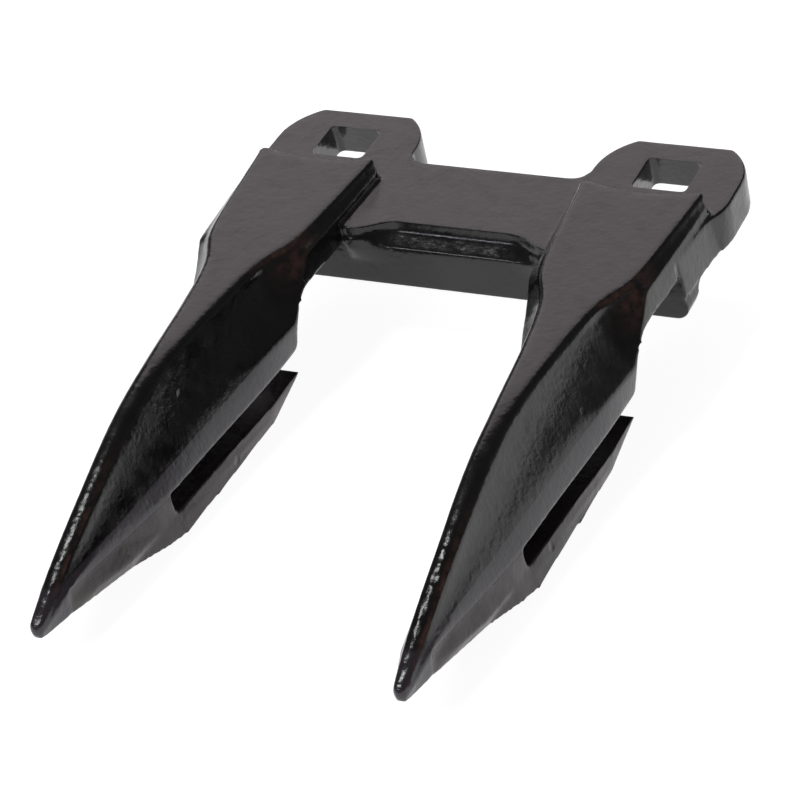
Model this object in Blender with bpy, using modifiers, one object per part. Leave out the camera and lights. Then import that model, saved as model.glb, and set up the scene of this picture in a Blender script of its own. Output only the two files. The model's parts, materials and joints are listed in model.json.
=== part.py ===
"""Double knife guard for a mower cutter bar: two fingers with knife slots on one bolted back plate.

Drawn upside down from its place in use, with the smooth side up. X runs across the fingers, Y from
the tips to the bolt lugs and Z up. The pieces are drawn about a datum on the mounting face, at the
middle of the bolt line, and an empty moves that datum so that the box stands on the origin.
"""
import math

import bmesh
import bpy
import numpy as np

MM = 0.001

# Back plate
BOLT_PITCH = 76.2 * MM          # between the two bolt holes, and between the two fingers
BOLT_HOLE = 12.2 * MM           # square, for a bolt with a square neck
HOLE_CORNER = 1.0 * MM
LUG_RADIUS = 17.0 * MM          # round the bolt hole
LUG_REAR = 13.0 * MM            # bolt line to the flat rear end
LUG_EDGE = 1.4 * MM             # rounded top edge of the plate
LOWER_EDGE = 0.3                # the lower edge is rounded by this share of the top one
LUG_DRAFT = 0.6 * MM            # a lug widens this much on each side going down
HOLE_DRAFT = 0.5 * MM           # and so does its bolt hole
HOLE_REAR_DRAFT = 3.4 * MM      # whose rear wall leans back much more
PLATE_THICK = 8.8 * MM
PLATE_REACH = 33.0 * MM         # bolt line to the front face of the plate and of its rib
ROOT_HALF = 15.2 * MM           # half width of a finger where it leaves its lug
WEB_REAR = 4.4 * MM             # bolt line to the web's rear edge
WEB_FILLET = 4.0 * MM           # round corner between the web's rear edge and a lug
WEB_LINE = 29.6 * MM            # bolt line to the front edge of the web's top face
WEB_SWEEP = 4.5 * MM            # how far that edge swings forward beside a finger
WEB_DROP = 2.7 * MM             # upright face below that edge
WEB_LEDGE = 0.7 * MM            # narrow ledge at its foot
WEB_SLOPE_FOOT = 4.0 * MM       # height where the slope below the ledge ends
WEB_SLOPE_SWING = 0.25          # that foot swings forward by this share of the edge's swing
RIB_DEPTH = 5.6 * MM            # rib below the mounting face
RIB_FOOT = 5.0 * MM             # its thickness at the foot
RIB_ROOT = 11.5 * MM            # its thickness at the mounting face
RIB_OVERHANG = 14.9 * MM        # bolt line of a finger to the end of the rib
RIB_CORNER = 2.6 * MM
RIB_DRAFT = 1.0 * MM            # its ends draw in this much at the top

# Finger, rear to front
PAD_SETBACK = 14.4 * MM         # bolt line to the middle of the pad's hollow rear edge
PAD_ARC = 38.0 * MM             # radius of that edge
PAD_CORNER = 3.0 * MM           # round rear corners of the pad
PAD_RISE = 4.5 * MM             # pad above the plate
PAD_BEVEL = 2.4 * MM            # drop of its bevelled side edges
PAD_REAR_FLAT = 13.2 * MM       # half widths of the pad's flat top
PAD_FRONT_FLAT = 9.4 * MM
PAD_TAPER = 5.0 * MM            # the pad draws in to the ridge from this far behind the neck's end
NECK_LENGTH = 20.0 * MM         # trough for the knife back, ahead of the plate
NECK_UNDER = 5.0 * MM           # underside of the neck, above the mounting face
NECK_FLAT = 6.8 * MM            # half width of the crown at the neck's end
NECK_HALF = 12.9 * MM
NECK_SIDE = 1.6 * MM            # upright edge along the neck's underside
SIDE_DRAFT = 0.2 * MM           # the pad's and neck's sides widen this much going down
BLADE_SLOPE = 6.5 * MM          # run of the blade's curved rear face
BLADE_HALF = 12.7 * MM          # half width at the rear of the blade
BLADE_FLAT = 3.9 * MM           # half width of the crown there
BLADE_WAIST = 9.9 * MM          # half width of the flank's lower edge where the ridge has formed
RIDGE_FORM = 18.5 * MM          # rear of the blade to that waist
RIDGE_LEVEL = 28.5 * MM         # rear of the blade to where the ridge begins to fall
RIDGE_POWER = 1.9               # how sharply the ridge curves down
WAIST_FLAT = 1.9 * MM           # half width of the crown at that waist
RIDGE_FLAT = 0.4 * MM           # and from the closed end of the slot
RIDGE_ROUND = 2.4 * MM          # radius of its shoulders
FLANK_HOLLOW = 0.07             # depth of the hollow flanks as a share of their height
SLOT_LENGTH = 53.0 * MM         # knife slot, from the blade's rear to its closed end
NOSE_LENGTH = 43.9 * MM         # closed end of the slot to the centre of the round tip
TIP_SOLID = 8.2 * MM            # solid nose ahead of the lip's root
TIP_RADIUS = 1.8 * MM
TIP_TOP = -6.2 * MM             # heights of the tip from the mounting face
TIP_UNDER = -10.6 * MM
LEDGER_Z = -7.0 * MM            # face that the knife slides on
LEDGER_REAR_HALF = 12.1 * MM    # its half width at the slot's mouth, quarter, three quarters and end
LEDGER_QUARTER_HALF = 11.7 * MM
LEDGER_LATE_HALF = 9.1 * MM
LEDGER_FRONT_HALF = 8.2 * MM
BAND_DROP = 1.9 * MM            # lower edge of the flank below the mounting face, at the slot's end
BAND_FRONT_HALF = 6.4 * MM
NOSE_BAND_HALF = 3.1 * MM
FINGER_LEAN = 1.0 * MM          # pads and ridges stand this far to the left of the mid-plane below them

# Lip under the knife slot
SLOT_OPEN = 4.6 * MM            # slot height at its closed end
SLOT_MOUTH = 6.2 * MM           # slot height at its open end
LIP_OVERRUN = 1.5 * MM          # the lip ends this far behind the blade
LIP_RAMP = 14.0 * MM            # ramp under the lip's free end
LIP_THICK = 4.8 * MM
LIP_EDGE = 0.8 * MM             # thickness left at the free end
LIP_REAR_HALF = 10.7 * MM       # half widths of its upper edge, in the same places
LIP_QUARTER_HALF = 10.9 * MM
LIP_LATE_HALF = 9.0 * MM
LIP_FRONT_HALF = 8.1 * MM
LIP_BELLY_HALF = 10.0 * MM
SEAM_RISE = 1.5 * MM            # the joint under the nose climbs this much
BELLY_CORNER = 6.0 * MM         # round belly ahead of the slot's closed end
NOSE_HALF = 2.8 * MM            # nose at the lip's root
NOSE_UNDER = -11.0 * MM

GAP = 0.3 * MM                  # joint between pieces that touch

PAD_TOP = PLATE_THICK + PAD_RISE
PLATE_FRONT = -PLATE_REACH
NECK_END = PLATE_FRONT - NECK_LENGTH
BLADE_REAR = NECK_END - BLADE_SLOPE
WAIST = BLADE_REAR - RIDGE_FORM
RIDGE_START = BLADE_REAR - RIDGE_LEVEL
SLOT_FRONT = BLADE_REAR - SLOT_LENGTH
TIP_CENTRE = SLOT_FRONT - NOSE_LENGTH
TIP_FRONT = TIP_CENTRE - TIP_RADIUS
SEAM_FRONT = TIP_CENTRE + TIP_SOLID
SLOT_QUARTER = BLADE_REAR - SLOT_LENGTH / 4
SLOT_LATE = SLOT_FRONT + SLOT_LENGTH / 4
LIP_REAR = BLADE_REAR + LIP_OVERRUN
LIP_ROOT_FRONT = SEAM_FRONT + GAP
BELLY_Z = LEDGER_Z - SLOT_OPEN - LIP_THICK
SIDES = {"left": -BOLT_PITCH / 2, "right": BOLT_PITCH / 2}


def clear_scene():
    for obj in list(bpy.data.objects):
        bpy.data.objects.remove(obj)


def new_collection(name):
    collection = bpy.data.collections.new(name)
    bpy.context.scene.collection.children.link(collection)
    return collection


def paint(name, colour, roughness):
    material = bpy.data.materials.new(name)
    material.use_nodes = True
    shader = material.node_tree.nodes["Principled BSDF"]
    shader.inputs["Base Color"].default_value = (*colour, 1)
    shader.inputs["Roughness"].default_value = roughness
    shader.inputs["Metallic"].default_value = 0.0
    return material


def mesh_object(name, bm, collection, material=None):
    bmesh.ops.remove_doubles(bm, verts=bm.verts, dist=1e-6)
    bmesh.ops.recalc_face_normals(bm, faces=bm.faces)
    mesh = bpy.data.meshes.new(name)
    bm.to_mesh(mesh)
    bm.free()
    mesh.shade_smooth()
    mesh.set_sharp_from_angle(angle=math.radians(30))
    obj = bpy.data.objects.new(name, mesh)
    collection.objects.link(obj)
    if material:
        mesh.materials.append(material)
    return obj


def extruded(name, outline, low, high, axis, collection, material=None):
    """A flat outline pushed along one axis: "Z" takes (x, y) points, "Y" takes (x, z), "X" takes (y, z)."""
    place = {
        "X": lambda a, b, depth: (depth, a, b),
        "Y": lambda a, b, depth: (a, depth, b),
        "Z": lambda a, b, depth: (a, b, depth),
    }[axis]
    bm = bmesh.new()
    base = bm.faces.new([bm.verts.new(place(a, b, low)) for a, b in outline])
    pushed = bmesh.ops.extrude_face_region(bm, geom=[base])
    top = [item for item in pushed["geom"] if isinstance(item, bmesh.types.BMVert)]
    bmesh.ops.translate(bm, verts=top, vec=place(0, 0, high - low))
    return mesh_object(name, bm, collection, material)


def lofted(name, sections, collection, material=None, weigh=None):
    """Skins a row of like sections, each a closed ring of points, and caps both ends.

    weigh gives an edge's share of the bevel from its two ends.
    """
    bm = bmesh.new()
    rings = [[bm.verts.new(point) for point in section] for section in sections]
    for before, after in zip(rings, rings[1:]):
        for i in range(len(before)):
            j = (i + 1) % len(before)
            bm.faces.new((before[i], before[j], after[j], after[i]))
    bm.faces.new(rings[0])
    bm.faces.new(rings[-1])
    if weigh:
        weight = bm.edges.layers.float.new("bevel_weight_edge")
        for edge in bm.edges:
            edge[weight] = weigh(*[vert.co for vert in edge.verts])
    return mesh_object(name, bm, collection, material)


def cut(obj, cutter):
    modifier = obj.modifiers.new(cutter.name, "BOOLEAN")
    modifier.operation = "DIFFERENCE"
    modifier.object = cutter
    cutter.hide_render = True
    cutter.display_type = "WIRE"


def round_edges(obj, width):
    modifier = obj.modifiers.new("Rounded edges", "BEVEL")
    modifier.width = width
    modifier.segments = 2
    modifier.limit_method = "WEIGHT"


def arc(centre, radius, start, end, steps):
    turns = [math.radians(start + (end - start) * i / steps) for i in range(steps + 1)]
    return [(centre[0] + radius * math.cos(t), centre[1] + radius * math.sin(t)) for t in turns]


def blend(low, high, share):
    return low + (high - low) * share


def eased(share):
    share = min(max(share, 0.0), 1.0)
    return share * share * (3 - 2 * share)


def follow(y, *stops):
    """Value at one place along a finger, straight between stops of (place, value) given rear to front."""
    places, values = zip(*reversed(stops))
    return float(np.interp(y, places, values))


def lean(z):
    """Shift of a finger's section at one height: none under the neck, all of it at the pad's edge."""
    share = (z - NECK_UNDER) / (PAD_TOP - PAD_BEVEL - NECK_UNDER)
    return -FINGER_LEAN * min(max(share, 0), 1)


def neck_half(y):
    return follow(y, (-PAD_SETBACK, ROOT_HALF), (NECK_END, NECK_HALF), (BLADE_REAR, BLADE_HALF))


def lug_outline(z, gap=0.0, beyond=0.0):
    """Plan of a lug at one height: flat rear end, round shoulders, then drawn in to the finger's root.

    gap widens it all round, and beyond carries it on past the plate's front.
    """
    grow = LUG_DRAFT * (1 - z / PLATE_THICK) + gap
    radius = LUG_RADIUS + grow
    root = ROOT_HALF + grow
    rear = LUG_REAR
    shift = lean(PLATE_THICK) * z / PLATE_THICK
    flat_angle = math.degrees(math.asin(rear / radius))
    shoulder = -LUG_RADIUS / 2
    waist = -PAD_SETBACK - LUG_RADIUS / 4
    sides = []
    for sign in (1, -1):
        side = [(sign * x, y) for x, y in arc((0, 0), radius, flat_angle, 0, 8)]
        for i in range(5):
            share = eased(i / 4)
            y = blend(shoulder, waist, i / 4)
            side.append((sign * blend(radius, root, share) + shift * share, y))
        front_x = sign * (neck_half(PLATE_FRONT) + grow) + shift
        side.append((front_x, PLATE_FRONT))
        if beyond:
            side.append((front_x, PLATE_FRONT - beyond))
        sides.append(side)
    return sides[0] + sides[1][::-1]


def drafted(outline, mid, heights):
    """Rings of an outline that changes with height."""
    rings = []
    for z in heights:
        rings.append([(mid + x, y, z) for x, y in outline(z)])
    return rings


def square_hole(z):
    """Plan of the bolt hole, from no draft at the plate's top to all of it at the mounting face."""
    share = 1 - z / PLATE_THICK
    inner = BOLT_HOLE / 2 - HOLE_CORNER + HOLE_DRAFT * share
    rear = BOLT_HOLE / 2 - HOLE_CORNER + HOLE_REAR_DRAFT * share
    corners = [(inner, rear, 0), (-inner, rear, 90), (-inner, -inner, 180), (inner, -inner, 270)]
    outline = []
    for x, y, start in corners:
        outline += arc((x, y), HOLE_CORNER, start, start + 90, 3)
    return outline


def lug_edge_weight(mid, start, end):
    """A lug's free top edge is rounded and its lower edge less; it stays sharp at the web, pad and rib."""
    upright = abs(start.z - end.z) > GAP
    under_pad = min(start.y, end.y) < -PAD_SETBACK
    inward = -math.copysign(1, mid)
    at_web = min(start.y, end.y) < -WEB_REAR and inward * (start.x - mid) > 0
    if upright or under_pad or at_web:
        return 0.0
    return LOWER_EDGE if start.z < GAP else 1.0


def make_lug(side, mid, parts, cutters, material):
    rings = drafted(lug_outline, mid, (0, PLATE_THICK))
    lug = lofted(f"{side}_lug", rings, parts, material, lambda start, end: lug_edge_weight(mid, start, end))
    round_edges(lug, LUG_EDGE)
    through = (-PLATE_THICK / 2, 1.5 * PLATE_THICK)
    hole = lofted(f"{side}_hole_cutter", drafted(square_hole, mid, through), cutters)
    cut(lug, hole)


def web_section(x):
    """Section across the web at one place along it: level top, stepped front edge, flat underside."""
    inner = BOLT_PITCH / 2 - ROOT_HALF
    forward = WEB_SWEEP * eased(2 * abs(x) / inner - 1) ** 1.5
    line = -WEB_LINE - forward
    ledge = line - WEB_LEDGE
    slope_foot = min(ledge, PLATE_FRONT - WEB_SLOPE_SWING * forward)
    drop_z = PLATE_THICK - WEB_DROP
    fillet_start = BOLT_PITCH / 2 - LUG_RADIUS - WEB_FILLET
    along = min(max(abs(x) - fillet_start, 0), WEB_FILLET)
    rear = -WEB_REAR + WEB_FILLET - math.sqrt(WEB_FILLET**2 - along**2)
    outline = [(rear, 0)] + arc((rear - LUG_EDGE, PLATE_THICK - LUG_EDGE), LUG_EDGE, 0, 90, 3)
    outline += [
        (line, PLATE_THICK),
        (line, drop_z),
        (ledge, drop_z),
        (slope_foot, WEB_SLOPE_FOOT),
        (PLATE_FRONT, 0),
    ]
    return [(x, y, z) for y, z in outline]


def make_web(parts, cutters, material):
    reach = BOLT_PITCH / 2
    inner = reach - ROOT_HALF
    swept = [blend(inner / 2, inner, i / 6) for i in range(7)]
    fillet_start = reach - LUG_RADIUS - WEB_FILLET
    filleted = [fillet_start + WEB_FILLET * math.sin(math.radians(turn)) for turn in (0, 25, 50, 70, 90)]
    half = sorted(swept + filleted + [reach])
    places = [-x for x in reversed(half)] + half
    web = lofted("web_plate", [web_section(x) for x in places], parts, material)
    for side, mid in SIDES.items():
        through = (-PLATE_THICK / 2, 1.5 * PLATE_THICK)
        rings = drafted(lambda z: lug_outline(z, GAP, PLATE_REACH), mid, through)
        cut(web, lofted(f"{side}_web_end_cutter", rings, cutters))


def make_rib(parts, cutters, material):
    """The cross rib under the plate: a straight bar with round lower corners and a hollow rear slope."""
    half = BOLT_PITCH / 2 + RIB_OVERHANG
    foot = -RIB_DEPTH
    rear = PLATE_FRONT + RIB_ROOT
    right = arc((half - RIB_CORNER, foot + RIB_CORNER), RIB_CORNER, 0, -90, 5)
    top_half = half - RIB_DRAFT
    outline = [(top_half, -GAP)] + right + [(-x, z) for x, z in reversed(right)] + [(-top_half, -GAP)]
    rib = extruded("cross_rib", outline, PLATE_FRONT, rear, "Y", parts, material)
    slope = [
        (PLATE_FRONT + RIB_FOOT, foot - RIB_DEPTH),
        (rear + RIB_DEPTH, foot - RIB_DEPTH),
        (rear + RIB_DEPTH, -GAP),
        (rear, -GAP),
        (PLATE_FRONT + blend(RIB_FOOT, RIB_ROOT, 0.35), foot / 2),
        (PLATE_FRONT + RIB_FOOT, foot),
    ]
    cutter = extruded("rib_slope_cutter", slope, -2 * half, 2 * half, "X", cutters)
    cut(rib, cutter)


def ridge_z(y):
    """Height of the finger's crown: level with the pad, then a curve down to the tip."""
    share = follow(y, (RIDGE_START, 0), (TIP_CENTRE, 1))
    return blend(PAD_TOP, TIP_TOP, share**RIDGE_POWER)


def crown_flat(y):
    """Half width of the flat crown: the pad, drawn in to the ridge in a V, then slimmer to the tip."""
    return follow(
        y,
        (-PAD_SETBACK, PAD_REAR_FLAT),
        (NECK_END + PAD_TAPER, PAD_FRONT_FLAT),
        (NECK_END, NECK_FLAT),
        (BLADE_REAR, BLADE_FLAT),
        (WAIST, WAIST_FLAT),
        (blend(WAIST, SLOT_FRONT, 0.55), 1.5 * RIDGE_FLAT),
        (SLOT_FRONT, RIDGE_FLAT),
        (TIP_CENTRE, RIDGE_FLAT / 2),
    )


def crown_turn(y):
    """Radius of the crown's shoulders: crisp on the pad and full on the ridge."""
    return follow(
        y, (PLATE_FRONT, RIDGE_ROUND / 2), (BLADE_REAR, RIDGE_ROUND), (SLOT_FRONT, 0.9 * RIDGE_ROUND),
        (TIP_CENTRE, 0.75 * RIDGE_ROUND),
    )


def band_half(y):
    return follow(y, (BLADE_REAR, BLADE_HALF), (WAIST, BLADE_WAIST), (SLOT_FRONT, BAND_FRONT_HALF),
                  (SEAM_FRONT, NOSE_BAND_HALF))


def band_z(y):
    return follow(y, (BLADE_REAR, 0), (SLOT_FRONT, -BAND_DROP),
                  (blend(SLOT_FRONT, SEAM_FRONT, 0.45), -1.5 * BAND_DROP), (SEAM_FRONT, TIP_TOP + MM))


def ledger_half(y):
    """Half width at the ledger face and along the seam ahead of it."""
    return follow(y, (BLADE_REAR, LEDGER_REAR_HALF), (SLOT_QUARTER, LEDGER_QUARTER_HALF),
                  (SLOT_LATE, LEDGER_LATE_HALF), (SLOT_FRONT, LEDGER_FRONT_HALF),
                  (SEAM_FRONT, NOSE_HALF), (TIP_CENTRE, TIP_RADIUS))


def seam_z(y):
    return LEDGER_Z + SEAM_RISE * follow(y, (SLOT_FRONT, 0), (SEAM_FRONT, 1))


def under_half(y):
    """Half width of the lip's belly, hollow towards the nose."""
    return follow(y, (SLOT_FRONT, LIP_BELLY_HALF), (SLOT_FRONT - BELLY_CORNER, 0.88 * LIP_BELLY_HALF),
                  (blend(SLOT_FRONT, SEAM_FRONT, 0.5), 0.58 * LIP_BELLY_HALF), (SEAM_FRONT, NOSE_HALF))


def under_z(y):
    return follow(y, (SLOT_FRONT, BELLY_Z), (SLOT_FRONT - BELLY_CORNER, blend(BELLY_Z, NOSE_UNDER, 0.15)),
                  (blend(SLOT_FRONT, SEAM_FRONT, 0.5), blend(BELLY_Z, NOSE_UNDER, 0.56)),
                  (SEAM_FRONT, NOSE_UNDER))


def half_section(y, top, flat, turn, band, band_height, foot, foot_z):
    """Right half of a finger's section: crown, rounded shoulder, hollow flank, lower band, flat foot."""
    points = [(0, top)]
    points += [(flat + x, top - turn + z) for x, z in arc((0, 0), turn, 90, 10, 6)]
    start = points[-1]
    hollow = FLANK_HOLLOW * (start[1] - band_height)
    for share in (1 / 3, 2 / 3):
        sag = hollow * 4 * share * (1 - share)
        points.append((blend(start[0], band, share) - sag, blend(start[1], band_height, share)))
    points += [(band, band_height), (foot, foot_z), (0, foot_z)]
    return [(x, y, z) for x, z in points]


def full_ring(half, mid):
    """The half section and its mirror image, as one closed ring about the finger's leaning mid-plane."""
    mirrored = [(-x, y, z) for x, y, z in reversed(half[1:-1])]
    return [(mid + lean(z) + x, y, z) for x, y, z in half + mirrored]


def crowned_section(y, band, band_height, foot, foot_z):
    return half_section(y, ridge_z(y), crown_flat(y), crown_turn(y), band, band_height, foot, foot_z)


def pad_sections():
    """The pad on its lug, then the neck over the trough."""
    on_plate = PLATE_THICK + GAP
    side_z = PAD_TOP - PAD_BEVEL
    start = -PAD_SETBACK + PAD_RISE
    front = PLATE_FRONT - GAP
    taper = NECK_END + PAD_TAPER
    rows = []
    for y, foot_z in ((start, on_plate), (front, on_plate), (front, NECK_UNDER), (taper, NECK_UNDER)):
        rows.append(crowned_section(y, neck_half(y) - SIDE_DRAFT, side_z, neck_half(y), foot_z))
    side_z = NECK_UNDER + NECK_SIDE
    rows.append(crowned_section(NECK_END, NECK_HALF - SIDE_DRAFT, side_z, NECK_HALF, NECK_UNDER))
    return rows


def blade_sections():
    """The curved rear face of the blade, the ridge over the knife slot, and the nose."""
    rows = []
    for share in (0.5, 0.77, 0.92, 1.0):
        y = blend(NECK_END, BLADE_REAR, share)
        foot_z = blend(NECK_UNDER, LEDGER_Z, share**3)
        foot = blend(NECK_HALF, LEDGER_REAR_HALF, share**3)
        height = max(blend(NECK_UNDER + NECK_SIDE, 0, share), foot_z + NECK_SIDE / 2)
        rows.append(crowned_section(y, neck_half(y), height, foot, foot_z))
    places = [blend(BLADE_REAR, WAIST, share) for share in (0.2, 0.45, 1.0)]
    places += [blend(WAIST, SLOT_FRONT, share) for share in (0.3, 0.55, 0.8, 1.0)]
    places += [blend(SLOT_FRONT, SEAM_FRONT, share) for share in (0.22, 0.45, 0.68, 0.86, 1.0)]
    for y in places:
        rows.append(crowned_section(y, band_half(y), band_z(y), ledger_half(y), seam_z(y)))
    y = SEAM_FRONT - GAP
    rows.append(crowned_section(y, band_half(y), band_z(y), NOSE_HALF, NOSE_UNDER))
    return rows


def tip_sections():
    """Half sections closing in on the round tip."""
    centre_z = (TIP_TOP + TIP_UNDER) / 2
    tall = (TIP_TOP - TIP_UNDER) / 2
    rows = []
    for reach in (0.0, 0.57, 0.87, 1.0):
        size = max(math.sqrt(1 - reach**2), 0.2)
        half = half_section(
            TIP_CENTRE - TIP_RADIUS * reach, tall * size, 0.2 * TIP_RADIUS * size,
            0.7 * TIP_RADIUS * size, TIP_RADIUS * size, 0, 0.6 * TIP_RADIUS * size, -tall * size,
        )
        rows.append([(x, y, z + centre_z) for x, y, z in half])
    return rows


def pad_rear(mid):
    """Plan of the space behind the pad, whose hollow rear edge ends in two round corners."""
    half = ROOT_HALF - PAD_CORNER
    centre_y = PAD_ARC - PAD_SETBACK
    sweep = math.degrees(math.asin(half / PAD_ARC))
    hollow = arc((0, centre_y), PAD_ARC, 270 - sweep, 270 + sweep, 16)
    side_y = hollow[-1][1] - PAD_CORNER
    right = arc((half, side_y), PAD_CORNER, 90, 0, 5)[1:]
    right += [(2 * LUG_RADIUS, side_y), (2 * LUG_RADIUS, centre_y)]
    outline = hollow + right + [(-x, y) for x, y in reversed(right)]
    return [(mid + lean(PAD_TOP) + x, y) for x, y in outline]


def make_finger(side, mid, parts, cutters, material):
    halves = pad_sections() + blade_sections() + tip_sections()
    finger = lofted(f"{side}_finger", [full_ring(half, mid) for half in halves], parts, material)
    cut(finger, extruded(f"{side}_pad_rear_cutter", pad_rear(mid), 0, 3 * PLATE_THICK, "Z", cutters))


def lip_half(y):
    """Half width of the lip's upper edge."""
    return follow(y, (LIP_REAR, LIP_REAR_HALF), (SLOT_QUARTER, LIP_QUARTER_HALF),
                  (SLOT_LATE, LIP_LATE_HALF), (SLOT_FRONT, LIP_FRONT_HALF))


def lip_section(y, top, waist, foot):
    """Right half of the lip's section, from the (half width, height) of three corners."""
    return [(0, y, top[1])] + [(half, y, z) for half, z in (top, waist, foot)] + [(0, y, foot[1])]


def halfway(top, foot):
    return blend(top[0], foot[0], 0.5), blend(top[1], foot[1], 0.5)


def make_lip(side, mid, parts, material):
    """The lip under the knife slot, with the root that carries it under the nose."""
    halves = []
    for y in (LIP_REAR, LIP_REAR - LIP_RAMP, SLOT_LATE, SLOT_FRONT):
        top = (lip_half(y), LEDGER_Z - follow(y, (LIP_REAR, SLOT_MOUTH), (SLOT_FRONT, SLOT_OPEN)))
        depth = LIP_EDGE if y == LIP_REAR else LIP_THICK
        foot = (follow(y, (LIP_REAR, LIP_REAR_HALF), (SLOT_FRONT, LIP_BELLY_HALF)), top[1] - depth)
        halves.append(lip_section(y, top, halfway(top, foot), foot))
    places = [SLOT_FRONT - MM, SLOT_FRONT - BELLY_CORNER]
    places += [blend(SLOT_FRONT, LIP_ROOT_FRONT, share) for share in (0.5, 0.8, 1.0)]
    for y in places:
        top = (ledger_half(y), seam_z(y) - GAP)
        foot = (under_half(y), under_z(y))
        side_x, side_z = halfway(top, foot)
        fade = follow(y, (SLOT_FRONT, 0), (SEAM_FRONT, 1))
        waist = (blend(LIP_FRONT_HALF, side_x, fade), blend(LEDGER_Z - SLOT_OPEN, side_z, fade))
        halves.append(lip_section(y, top, waist, foot))
    lofted(f"{side}_lip", [full_ring(half, mid) for half in halves], parts, material)


def settle(parts, cutters):
    """Moves the datum from the bolt line on the mounting face to the middle of the box's base."""
    slot_height = follow(LIP_REAR - LIP_RAMP, (LIP_REAR, SLOT_MOUTH), (SLOT_FRONT, SLOT_OPEN))
    base = bpy.data.objects.new("guard_frame", None)
    base.location = (0, -(LUG_REAR + TIP_FRONT) / 2, slot_height + LIP_THICK - LEDGER_Z)
    for obj in list(parts.objects) + list(cutters.objects):
        obj.parent = base
    parts.objects.link(base)


def main():
    clear_scene()
    parts = new_collection("knife_guard")
    cutters = new_collection("cutters")
    plate_paint = paint("plate_paint", (0.045, 0.042, 0.043), 0.42)
    finger_paint = paint("finger_paint", (0.032, 0.030, 0.031), 0.36)
    lip_paint = paint("lip_paint", (0.055, 0.047, 0.045), 0.45)
    for side, mid in SIDES.items():
        make_lug(side, mid, parts, cutters, plate_paint)
        make_finger(side, mid, parts, cutters, finger_paint)
        make_lip(side, mid, parts, lip_paint)
    make_web(parts, cutters, plate_paint)
    make_rib(parts, cutters, plate_paint)
    settle(parts, cutters)


main()
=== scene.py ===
import json
import math
from collections import Counter

import bpy
from mathutils import Matrix, Vector

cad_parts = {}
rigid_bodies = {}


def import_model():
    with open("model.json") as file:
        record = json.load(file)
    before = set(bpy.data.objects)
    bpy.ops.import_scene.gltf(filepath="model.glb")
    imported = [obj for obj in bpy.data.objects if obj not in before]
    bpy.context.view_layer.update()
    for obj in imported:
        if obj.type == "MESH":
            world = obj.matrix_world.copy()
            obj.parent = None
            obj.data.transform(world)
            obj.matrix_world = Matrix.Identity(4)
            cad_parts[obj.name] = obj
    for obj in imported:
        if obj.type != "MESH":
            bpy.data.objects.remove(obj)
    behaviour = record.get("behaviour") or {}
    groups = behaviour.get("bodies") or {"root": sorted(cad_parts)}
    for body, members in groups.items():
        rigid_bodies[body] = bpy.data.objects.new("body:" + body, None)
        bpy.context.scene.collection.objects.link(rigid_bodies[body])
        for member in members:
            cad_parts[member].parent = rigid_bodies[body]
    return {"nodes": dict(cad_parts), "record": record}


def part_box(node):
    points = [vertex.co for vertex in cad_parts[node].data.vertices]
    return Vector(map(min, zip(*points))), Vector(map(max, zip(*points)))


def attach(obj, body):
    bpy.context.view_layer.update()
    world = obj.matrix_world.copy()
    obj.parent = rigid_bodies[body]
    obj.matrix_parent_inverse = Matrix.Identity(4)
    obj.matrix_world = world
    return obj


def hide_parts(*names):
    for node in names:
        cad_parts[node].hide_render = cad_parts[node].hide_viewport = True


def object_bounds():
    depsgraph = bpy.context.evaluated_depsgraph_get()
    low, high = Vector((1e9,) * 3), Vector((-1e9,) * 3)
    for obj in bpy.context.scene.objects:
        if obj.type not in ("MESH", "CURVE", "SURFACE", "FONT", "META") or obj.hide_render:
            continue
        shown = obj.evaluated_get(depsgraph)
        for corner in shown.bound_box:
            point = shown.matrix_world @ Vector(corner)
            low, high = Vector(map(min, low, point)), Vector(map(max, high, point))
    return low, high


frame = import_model()
cadLow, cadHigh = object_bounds()
print("frame loaded:", sorted(frame["nodes"]))

# places that the looks share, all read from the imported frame
mm = 0.001
slotInset = 1.0 * mm        # a slot's opening in the frame stops this short of its closed end
lipOverrun = 1.5 * mm       # a lip ends this far behind its blade
mounts = {mount["name"]: Vector(mount["pos_m"]) for mount in frame["record"]["mounts"]}
openings = {gap["name"]: gap["box_m"] for gap in frame["record"]["physics"]["openings"]}
plateTop = mounts["left_bolt_head_face"].z
mountFace = mounts["left_mounting_face"].z
ledgerFace = mounts["left_ledger_face"].z
fingerMid = mounts["right_ledger_face"].x
lipLow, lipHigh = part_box("right_lip")
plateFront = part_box("cross_rib")[0].y
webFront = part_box("web_plate")[0].y
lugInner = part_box("right_lug")[0].x
slotFront = openings["right_knife_slot"][0][1] - slotInset
bladeRear = lipHigh.y - lipOverrun


def deselectAll():
    for piece in bpy.context.selected_objects:
        piece.select_set(False)


def makeActive(piece):
    deselectAll()
    piece.select_set(True)
    bpy.context.view_layer.objects.active = piece


def applyModifier(piece, kind, **settings):
    makeActive(piece)
    modifier = piece.modifiers.new(kind.lower(), kind)
    for name, value in settings.items():
        setattr(modifier, name, value)
    bpy.ops.object.modifier_apply(modifier=modifier.name)


def copyPiece(source, name):
    twin = bpy.data.objects.new(name, source.data.copy())
    bpy.context.scene.collection.objects.link(twin)
    return twin


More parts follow.
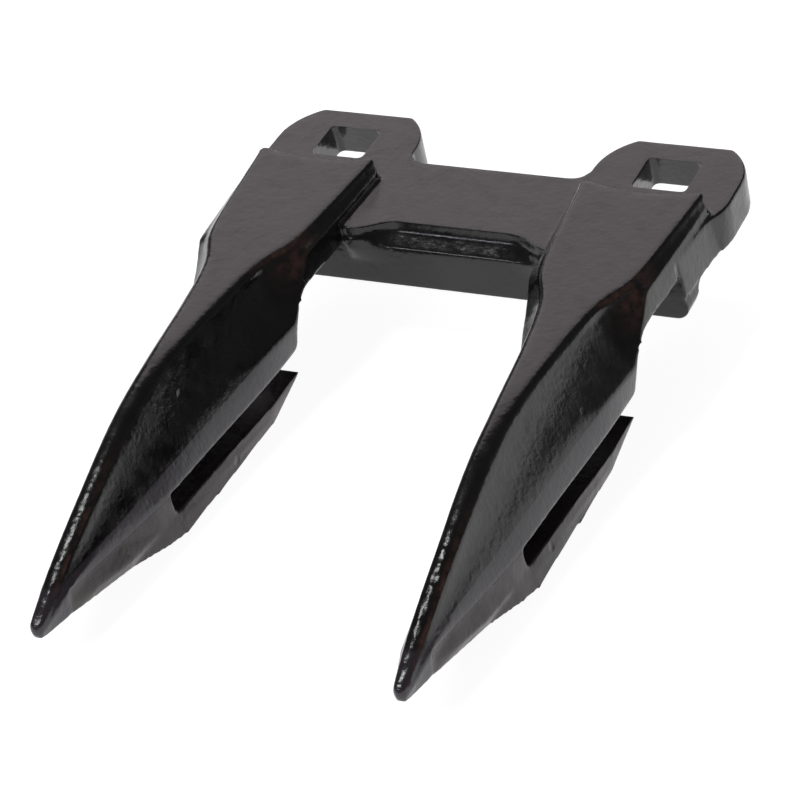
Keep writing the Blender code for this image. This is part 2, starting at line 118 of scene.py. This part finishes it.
forging = {
    "weld": 0.01 * mm,      # merges a copied solid's loose triangles, and slivers after the cuts
    "quadAngles": (25, 60),  # degrees: flatter and squarer pairs of triangles become one face
    "crease": 21,           # degrees: sharper edges stay edges when the fingers are subdivided
    "creaseHold": 0.9,      # how firmly they stay
    "levels": 3,            # of that subdivision
    "grow": 0.3 * mm,       # closes the joints between the solids
    "voxel": 0.36 * mm,
    "softPasses": (6, 8),   # before and after shrinking: rounds every edge and fillets inside corners
    "softness": 0.5,        # of each pass
    "skinLump": 1.6 * mm,   # size and depth of the lumps of the cast skin
    "skinDepth": 0.05 * mm,
    "beadLump": 2.6 * mm,   # and of the beads along the ridge near a tip
    "beadDepth": 0.45 * mm,
    "beadLength": 40 * mm,
    "beadUpward": 0.6,      # only where the skin faces up more than this
}


def copySolid(nodeName):
    solid = copyPiece(frame["nodes"][nodeName], nodeName + "Copy")
    solid.data.materials.clear()
    makeActive(solid)
    bpy.ops.object.mode_set(mode="EDIT")
    bpy.ops.mesh.select_all(action="SELECT")
    bpy.ops.mesh.remove_doubles(threshold=forging["weld"])
    flat, square = (math.radians(angle) for angle in forging["quadAngles"])
    bpy.ops.mesh.tris_convert_to_quads(face_threshold=flat, shape_threshold=square)
    bpy.ops.object.mode_set(mode="OBJECT")
    return solid


def smoothLoft(solid):
    # the sections of a finger run into each other, and its real edges are kept by creases
    makeActive(solid)
    bpy.ops.object.mode_set(mode="EDIT")
    bpy.ops.mesh.select_mode(type="EDGE")
    bpy.ops.mesh.select_all(action="DESELECT")
    bpy.ops.mesh.edges_select_sharp(sharpness=math.radians(forging["crease"]))
    bpy.ops.transform.edge_crease(value=forging["creaseHold"])
    bpy.ops.object.mode_set(mode="OBJECT")
    applyModifier(solid, "SUBSURF", levels=forging["levels"], render_levels=forging["levels"])


def growSkin(piece, width, evenly):
    makeActive(piece)
    bpy.ops.object.mode_set(mode="EDIT")
    bpy.ops.mesh.select_all(action="SELECT")
    bpy.ops.transform.shrink_fatten(value=width, use_even_offset=evenly)
    bpy.ops.object.mode_set(mode="OBJECT")


def roughen(body, kind, group):
    lumps = bpy.data.textures.new(kind + "Lumps", "CLOUDS")
    lumps.noise_scale = forging[kind + "Lump"]
    applyModifier(body, "DISPLACE", texture=lumps, texture_coords="LOCAL", vertex_group=group,
                  strength=forging[kind + "Depth"], mid_level=1.0)


def beadRidges(body):
    reach, upward = forging["beadLength"], forging["beadUpward"]
    beads = body.vertex_groups.new(name="ridgeBeads")
    for vert in body.data.vertices:
        if vert.co.y < cadLow.y + reach and vert.normal.z > upward:
            share = (cadLow.y + reach - vert.co.y) / reach
            beads.add([vert.index], min(1, 2 * share) * (vert.normal.z - upward) / (1 - upward), "REPLACE")
    roughen(body, "bead", "ridgeBeads")
    body.vertex_groups.clear()


def makeForging():
    solids = {name: copySolid(name) for name in sorted(frame["nodes"])}
    for side in ("left", "right"):
        smoothLoft(solids[side + "_finger"])
    for name, solid in solids.items():
        growSkin(solid, forging["grow"], "lip" not in name)     # thin lips grow along plain normals
    deselectAll()
    for solid in solids.values():
        solid.select_set(True)
    body = solids["web_plate"]
    bpy.context.view_layer.objects.active = body
    bpy.ops.object.join()
    body.name = "forgedBody"
    applyModifier(body, "REMESH", mode="VOXEL", voxel_size=forging["voxel"], use_smooth_shade=True)
    before, after = forging["softPasses"]
    applyModifier(body, "SMOOTH", factor=forging["softness"], iterations=before)
    growSkin(body, -forging["grow"], False)
    applyModifier(body, "SMOOTH", factor=forging["softness"], iterations=after)
    roughen(body, "skin", "")
    beadRidges(body)
    print("forged body:", len(body.data.vertices), "points")
    return body


split = {
    "clear": 0.15 * mm,     # the cuts pass this far off the flat faces
    "joint": 0.3 * mm,      # gap between a lip and its nose in the solids
    "seamSlit": 0.025 * mm,  # half the thin line between a lip's root and its nose
    "beyond": 20 * mm,      # the cutting boxes run this far past the body
    "past": 5 * mm,         # but only this far towards another piece
    "smoothAngle": 40,      # degrees: sharper edges are shaded as edges
}


def seamHeight(y):
    rise = (lipHigh.z - ledgerFace + split["joint"]) / (slotFront - lipLow.y)
    return ledgerFace - split["clear"] + (slotFront - y) * rise


def cuttingBox(low, high, topHeight=None):
    bpy.ops.mesh.primitive_cube_add(size=1, location=[(a + b) / 2 for a, b in zip(low, high)],
                                    scale=[b - a for a, b in zip(low, high)])
    box = bpy.context.object
    bpy.ops.object.transform_apply(location=True, rotation=False, scale=True)
    if topHeight:           # the seam climbs towards the tip
        for vert in box.data.vertices:
            if vert.co.z > (low[2] + high[2]) / 2:
                vert.co.z = topHeight(vert.co.y)
    return box


def carve(source, name, operation, box):
    piece = copyPiece(source, name)
    applyModifier(piece, "BOOLEAN", operation=operation, object=box, solver="MANIFOLD")
    return piece


def drop(*pieces):
    for piece in pieces:
        bpy.data.objects.remove(piece)


def closeSeams(piece):
    # folded slivers are welded flat and their flaps deleted, so that the piece is one closed shell
    makeActive(piece)
    bpy.ops.object.mode_set(mode="EDIT")
    bpy.ops.mesh.select_mode(type="FACE")
    bpy.ops.mesh.select_all(action="SELECT")
    bpy.ops.mesh.remove_doubles(threshold=forging["weld"])
    bpy.ops.mesh.quads_convert_to_tris()
    while True:
        bpy.ops.mesh.select_all(action="DESELECT")
        bpy.ops.object.mode_set(mode="OBJECT")
        faces = piece.data.polygons
        uses = Counter(edge for face in faces for edge in face.edge_keys)
        flaps = [face for face in faces if min(uses[edge] for edge in face.edge_keys) == 1]
        if not flaps:
            break
        for face in flaps:
            face.select = True
        bpy.ops.object.mode_set(mode="EDIT")
        bpy.ops.mesh.delete(type="FACE")
    badEdges = sum(1 for count in uses.values() if count != 2)
    print(piece.name, len(faces), "faces,", badEdges, "open or crowded edges")


def splitForging(body):
    far = split["beyond"]
    left, right = cadLow.x - far, cadHigh.x + far
    front, rear = cadLow.y - far, cadHigh.y + far
    floor, roof = cadLow.z - far, cadHigh.z + far
    clear, slit, past = split["clear"], split["seamSlit"], split["past"]
    ribSpace = cuttingBox((left, plateFront - clear, floor), (right, rear, mountFace - clear))
    webSpace = cuttingBox((-lugInner, webFront - past, floor), (lugInner, rear, roof))
    plateSpace = cuttingBox((left, plateFront - clear, floor), (right, rear, plateTop + clear))
    lipSpace = cuttingBox((left, lipLow.y + slit, floor), (right, lipHigh.y + past, ledgerFace),
                          lambda y: seamHeight(y) - slit)
    noseSpace = cuttingBox((left, lipLow.y - slit, floor), (right, lipHigh.y + past, ledgerFace),
                           lambda y: seamHeight(y) + slit)
    rib = carve(body, "crossRib", "INTERSECT", ribSpace)
    upper = carve(body, "upper", "DIFFERENCE", ribSpace)
    web = carve(upper, "webPlate", "INTERSECT", webSpace)
    outer = carve(upper, "outer", "DIFFERENCE", webSpace)
    pieces = {"crossRib": rib, "webPlate": web}
    for side, (low, high) in {"left": (left, 0), "right": (0, right)}.items():
        sideSpace = cuttingBox((low, front, floor), (high, rear, roof))
        half = carve(outer, "half", "INTERSECT", sideSpace)
        pieces[side + "Lug"] = carve(half, side + "Lug", "INTERSECT", plateSpace)
        long = carve(half, "long", "DIFFERENCE", plateSpace)
        pieces[side + "Lip"] = carve(long, side + "Lip", "INTERSECT", lipSpace)
        pieces[side + "Finger"] = carve(long, side + "Finger", "DIFFERENCE", noseSpace)
        drop(half, long, sideSpace)
    drop(body, upper, outer, ribSpace, webSpace, plateSpace, lipSpace, noseSpace)
    for piece in pieces.values():
        closeSeams(piece)
        bpy.ops.object.shade_smooth_by_angle(angle=math.radians(split["smoothAngle"]))
    return pieces


paint = {
    "plate": {"dark": (0.0060, 0.0053, 0.0055), "light": (0.0110, 0.0097, 0.0101), "gloss": (0.15, 0.29)},
    "finger": {"dark": (0.0042, 0.0037, 0.0039), "light": (0.0085, 0.0074, 0.0078), "gloss": (0.15, 0.29)},
    # the lip's lighter, brownish tone is painted light: a lit copy of the same black paint, where the lip's
    # sides face up into the light
    "lip": {"dark": (0.024, 0.0165, 0.0165), "light": (0.036, 0.026, 0.026), "gloss": (0.24, 0.38)},
    "band": (0.034, 0.029, 0.037),      # lower band of a finger: its lighter tone is partly the ground trim and partly a painted sheen where the band faces up
    "rustAndHighlight": (0.075, 0.036, 0.028),      # primer and rust where the paint is thin, with a painted reddish highlight on the shoulders that face right and up
    "orangePeel": 0.06 * mm,            # height of the paint's fine texture
    "grindMarks": 0.04 * mm,            # height of the marks across the lower band
    "pit": 0.22 * mm,                   # depth of the small casting pits on the sides
    "bandFall": 1.9 * mm,               # the band's upper edge drops this much along the slot
    "bandFade": 0.5 * mm,               # and its tone comes in over this height
    "cloudScale": 85.0,                 # pattern scales: a higher number is a finer pattern
    "patchScale": 420.0,
    "streakScale": 240.0,
    "peelScale": 900.0,
    "pitScale": 75.0,
    "markScale": 1500.0,
    "markStretch": (0.12, 1.0, 0.12),   # grinding marks run across the band
}

wearAndHighlight = {
    "cornerAside": 5.5 * mm,            # worn and highlighted front corner of a pad, from the finger's middle
    "cornerAhead": 17 * mm,             # and ahead of the plate
    "cornerReach": 12 * mm,
    "ridgeAside": 1.5 * mm,             # worn and highlighted ridge near a tip
    "ridgeBelow": 2 * mm,               # below the mounting face
    "ridgeReach": 34 * mm,
    "fade": 0.35,                       # full wear within this share of the reach
}


class NodeMaker:
    def __init__(self, tree):
        self.tree = tree

    def add(self, kind, settings=None, **inputs):
        node = self.tree.nodes.new(kind)
        for name, value in (settings or {}).items():
            setattr(node, name, value)
        for name, value in inputs.items():
            key = int(name[1:]) if name[0] == "n" and name[1:].isdigit() else name
            socket = node.inputs[key]
            if isinstance(value, bpy.types.NodeSocket):
                self.tree.links.new(value, socket)
            else:
                socket.default_value = value
        return node.outputs

    def math(self, operation, first, second=0.0):
        return self.add("ShaderNodeMath", {"operation": operation}, n0=first, n1=second)[0]

    def spread(self, value, fromLow, fromHigh, toLow=0.0, toHigh=1.0):
        limits = {"From Min": fromLow, "From Max": fromHigh, "To Min": toLow, "To Max": toHigh}
        return self.add("ShaderNodeMapRange", None, Value=value, **limits)[0]

    def mixColour(self, share, first, second):
        node = self.tree.nodes.new("ShaderNodeMix")
        node.data_type = "RGBA"
        for socket, value in zip((node.inputs[0], node.inputs[6], node.inputs[7]), (share, first, second)):
            if isinstance(value, bpy.types.NodeSocket):
                self.tree.links.new(value, socket)
            else:
                socket.default_value = value
        return node.outputs[2]


def nearPoint(make, place, point, reach):
    away = make.add("ShaderNodeVectorMath", {"operation": "DISTANCE"}, n0=place, n1=tuple(point))["Value"]
    return make.spread(away, reach, reach * wearAndHighlight["fade"])


def bandShare(make, place):
    y, z = make.add("ShaderNodeSeparateXYZ", None, Vector=place)[1:3]
    slope = paint["bandFall"] / (bladeRear - slotFront)
    fall = make.math("MULTIPLY", make.math("SUBTRACT", y, bladeRear), slope)
    bandTop = make.math("ADD", fall, mountFace)
    under = make.spread(make.math("SUBTRACT", bandTop, z), 0.0, paint["bandFade"])
    ahead = make.spread(y, bladeRear + 1 * mm, bladeRear - 3 * mm)
    return make.math("MULTIPLY", under, ahead)


def wornAndHighlightShare(make, place, normal, spots):
    # the tone goes only on shoulders facing right and up: partly worn paint, partly a painted highlight
    litShoulder = make.math("MULTIPLY", make.spread(normal[0], 0.25, 0.5), make.spread(normal[2], 0.42, 0.62))
    patches = make.add("ShaderNodeTexNoise", None, Vector=place, Scale=paint["patchScale"], Detail=3.0)[0]
    patchy = make.spread(patches, 0.32, 0.66)
    near = 0.0
    for point, reach in spots:
        near = make.math("MAXIMUM", nearPoint(make, place, point, reach), near)
    return make.math("MULTIPLY", make.math("MULTIPLY", litShoulder, patchy), near)


def makePaint(name, tone, wornAndHighlightSpots=(), banded=False):
    material = bpy.data.materials.new(name)
    material.use_nodes = True
    make = NodeMaker(material.node_tree)
    shader = material.node_tree.nodes["Principled BSDF"]
    place = make.add("ShaderNodeTexCoord")["Object"]
    cloudy = make.add("ShaderNodeTexNoise", None, Vector=place, Scale=paint["cloudScale"], Detail=5.0)[0]
    colour = make.mixColour(make.spread(cloudy, 0.38, 0.64), (*tone["dark"], 1), (*tone["light"], 1))
    normal = make.add("ShaderNodeSeparateXYZ", None, Vector=make.add("ShaderNodeNewGeometry")["Normal"])
    if banded:              # the flat band between the flanks and the knife slot keeps its grinding marks, and its lighter tone is partly a painted sheen where it faces up
        band = bandShare(make, place)
        colour = make.mixColour(band, colour, (*paint["band"], 1))
    if wornAndHighlightSpots:
        colour = make.mixColour(wornAndHighlightShare(make, place, normal, wornAndHighlightSpots), colour, (*paint["rustAndHighlight"], 1))
    material.node_tree.links.new(colour, shader.inputs["Base Color"])

    streaky = make.add("ShaderNodeTexNoise", None, Vector=place, Scale=paint["streakScale"], Detail=4.0)[0]
    roughness = make.spread(streaky, 0.35, 0.68, *tone["gloss"])
    material.node_tree.links.new(roughness, shader.inputs["Roughness"])

    peel = make.add("ShaderNodeTexNoise", None, Vector=place, Scale=paint["peelScale"], Detail=3.0)[0]
    height = make.math("MULTIPLY", peel, paint["orangePeel"] / mm)
    cells = make.add("ShaderNodeTexVoronoi", None, Vector=place, Scale=paint["pitScale"])["Distance"]
    sideways = make.spread(make.math("ABSOLUTE", normal[0]), 0.75, 0.92)
    pits = make.math("MULTIPLY", make.spread(cells, 0.09, 0.03), sideways)
    height = make.math("SUBTRACT", height, make.math("MULTIPLY", pits, paint["pit"] / mm))
    if banded:
        squeezed = make.add("ShaderNodeMapping", None, Vector=place, Scale=paint["markStretch"])[0]
        marks = make.add("ShaderNodeTexNoise", None, Vector=squeezed, Scale=paint["markScale"], Detail=2.0)[0]
        grooves = make.math("MULTIPLY", make.math("MULTIPLY", band, marks), paint["grindMarks"] / mm)
        height = make.math("ADD", height, grooves)
    bump = make.add("ShaderNodeBump", None, Height=height, Strength=1.0, Distance=mm)[0]
    material.node_tree.links.new(bump, shader.inputs["Normal"])
    return material


def findWornAndHighlightSpots():
    spots = []
    for mid in (-fingerMid, fingerMid):
        corner = (mid + wearAndHighlight["cornerAside"], plateFront - wearAndHighlight["cornerAhead"], cadHigh.z)
        ridge = (mid + wearAndHighlight["ridgeAside"], lipLow.y, mountFace - wearAndHighlight["ridgeBelow"])
        spots += [(corner, wearAndHighlight["cornerReach"]), (ridge, wearAndHighlight["ridgeReach"])]
    return spots


def makeGuard():
    pieces = splitForging(makeForging())
    finishes = {
        "Lug": ("plate_paint", makePaint("lugPaint", paint["plate"])),
        "Finger": ("finger_paint", makePaint("fingerPaint", paint["finger"], findWornAndHighlightSpots(), True)),
        "Lip": ("lip_paint", makePaint("litLipPaint", paint["lip"])),
        "webPlate": ("plate_paint", makePaint("webPaint", paint["plate"])),
        "crossRib": ("plate_paint", makePaint("ribPaint", paint["plate"])),
    }
    nodes = {"webPlate": "web_plate", "crossRib": "cross_rib"}
    for side in ("left", "right"):
        for part in ("Lug", "Finger", "Lip"):
            nodes[side + part] = f"{side}_{part.lower()}"
    for name, piece in pieces.items():
        slotName, material = next(value for key, value in finishes.items() if name.endswith(key))
        piece.data.materials.clear()
        piece.data.materials.append(material)
        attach(piece, "root")
        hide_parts(nodes[name])
    print("guard painted:", len(pieces), "pieces")


makeGuard()

camera = {                  # directions as unit vectors, focal length in millimetres
    "place": (0.25253, -0.48114, 0.38082),
    "right": (0.9165, 0.3806, -0.1228),
    "down": (0.1243, -0.5629, -0.8171),
    "ahead": (-0.3801, 0.7336, -0.5633),
    "lens": 142.98,
    "clip": (0.01, 20),
}


def makeCamera():
    bpy.ops.object.camera_add(location=camera["place"])
    eye = bpy.context.object
    right, down, ahead = (Vector(camera[name]) for name in ("right", "down", "ahead"))
    eye.rotation_euler = Matrix((right, -down, -ahead)).transposed().to_euler()
    eye.data.lens = camera["lens"]
    eye.data.clip_start, eye.data.clip_end = camera["clip"]
    bpy.context.scene.camera = eye


studio = {
    "floorSize": 6,
    "floorTone": (0.5, 0.5, 0.5),
    "floorRoughness": 0.8,
    "floorGlow": 0.92,      # a lit sweep, so that the shadow stays faint
    "horizon": 0.16,        # brightness of the air near the floor, and overhead
    "zenith": 0.10,
    "horizonFoot": 0.12,    # sines of the heights where it starts to darken and has darkened
    "horizonTop": 0.30,
}

lamps = {
    "rearSoftbox": {"place": (-0.36, 0.95, 0.62), "aim": (0, 0, 0), "size": (0.95, 0.75), "power": 2.5,
                    "colour": (1.0, 0.91, 0.93)},
    "frontSoftbox": {"place": (-0.38, -0.74, 0.54), "aim": (0, 0, 0), "size": (0.24, 0.20), "power": 1.1,
                     "colour": (0.95, 0.9, 1)},
    "sparkLamp": {"place": (-0.38, -0.02, 0.92), "aim": (0, -0.06, 0), "size": (0.22, 0.22), "power": 2.2,
                  "colour": (1, 1, 1)},     # small, for the sparks along the ridges
}


def makeFloor():
    bpy.ops.mesh.primitive_plane_add(size=studio["floorSize"], location=(0, 0, 0))
    floor = bpy.context.object
    floor.name = "studioFloor"
    material = bpy.data.materials.new("paleFloor")
    material.use_nodes = True
    shader = material.node_tree.nodes["Principled BSDF"]
    shader.inputs["Base Color"].default_value = (*studio["floorTone"], 1)
    shader.inputs["Roughness"].default_value = studio["floorRoughness"]
    shader.inputs["Emission Color"].default_value = (1, 1, 1, 1)
    shader.inputs["Emission Strength"].default_value = studio["floorGlow"]
    floor.data.materials.append(material)


def makeLight(name, place, aim, size, power, colour):
    bpy.ops.object.light_add(type="AREA", location=place)
    lamp = bpy.context.object
    lamp.name = name
    lamp.data.shape = "RECTANGLE"
    lamp.data.size, lamp.data.size_y = size
    lamp.data.energy = power
    lamp.data.color = colour
    lamp.rotation_euler = (Vector(aim) - Vector(place)).to_track_quat("-Z", "Y").to_euler()


def makeWorld():
    world = bpy.data.worlds.new("studioAir")
    world.use_nodes = True
    make = NodeMaker(world.node_tree)
    upward = make.add("ShaderNodeSeparateXYZ", None, Vector=make.add("ShaderNodeTexCoord")["Generated"])[2]
    foot, top = studio["horizonFoot"], studio["horizonTop"]
    strength = make.spread(upward, foot, top, studio["horizon"], studio["zenith"])
    world.node_tree.links.new(strength, world.node_tree.nodes["Background"].inputs["Strength"])
    world.node_tree.nodes["Background"].inputs["Color"].default_value = (1, 1, 1, 1)
    bpy.context.scene.world = world


makeCamera()
makeFloor()
makeWorld()
for name, lamp in lamps.items():
    makeLight(name, **lamp)
bpy.context.scene.view_settings.view_transform = "Standard"
print("studio ready")
